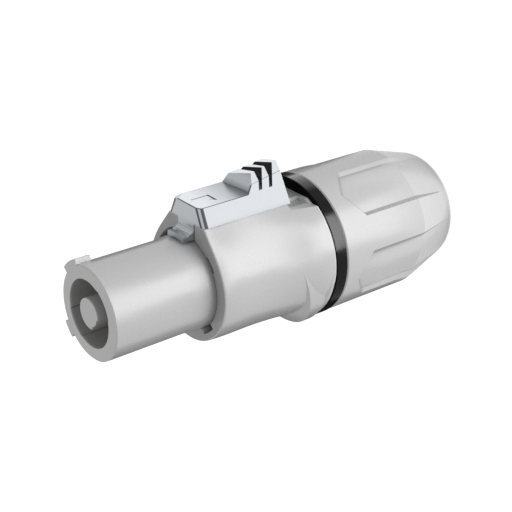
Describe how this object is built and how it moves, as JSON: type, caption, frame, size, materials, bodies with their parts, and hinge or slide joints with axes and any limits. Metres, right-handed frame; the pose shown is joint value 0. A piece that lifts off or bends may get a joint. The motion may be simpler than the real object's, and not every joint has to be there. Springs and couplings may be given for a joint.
{
  "type": "cable power connector",
  "caption": "Cable-end power connector with a round bayonet nose, a sliding thumb latch on the barrel and a screwed cap that clamps the cable.",
  "frame": {"origin": "centre of the cable's entry in the cap's rear face", "axes": "+Z along the connector's axis from the cap to the nose, +X towards the latch"},
  "size_m": [0.0391, 0.0322, 0.09],
  "materials": {
    "housing_plastic": "fine moulded grain",
    "insert_plastic": "fine moulded grain, darker in the hollow nose",
    "cap_plastic": "fine moulded grain",
    "chuck_plastic": "smooth",
    "cover_plastic": "smooth",
    "washer_plastic": "smooth",
    "seal_rubber": "satin",
    "latch_metal": "satin silver on die-cast metal",
    "contact_metal": "plated",
    "clamp_metal": "plated",
    "screw_steel": "turned",
    "spring_steel": "drawn wire"
  },
  "bodies": {
    "housing": {"barrel": "housing_plastic", "insert": "insert_plastic", "insert_seal": "seal_rubber", "contact_line": "contact_metal", "contact_neutral": "contact_metal", "contact_earth": "contact_metal", "cage_line": "clamp_metal", "cage_neutral": "clamp_metal", "cage_earth": "clamp_metal", "terminal_screws": "screw_steel", "insert_cover": "cover_plastic", "seal_ring": "seal_rubber", "chuck": "chuck_plastic", "latch_spring_left": "spring_steel", "latch_spring_right": "spring_steel"},
    "latch": {"latch": "latch_metal"},
    "gland": {"cable_seal": "seal_rubber", "slip_washer": "washer_plastic"},
    "cap": {"cap": "cap_plastic"}
  },
  "joints": [
    {"name": "latch_slide", "type": "slide", "parent": "housing", "child": "latch", "axis": [0, 0, -1], "range_m": [0, 0.0035], "stiffness_N_per_m": 300, "springref_m": -0.004, "deforming": ["latch_spring_left", "latch_spring_right"]},
    {"name": "cap_travel", "type": "slide", "parent": "housing", "child": "gland", "axis": [0, 0, -1], "range_m": [0, 0.01201]},
    {"name": "cap_turn", "type": "hinge", "parent": "gland", "child": "cap", "pos_m": [0, 0, 0], "axis": [0, 0, -1], "range_deg": [0, 2160]}
  ],
  "couplings": [
    {"joint": "cap_travel", "follows": "cap_turn", "m_per_rad": 0.00031831}
  ]
}
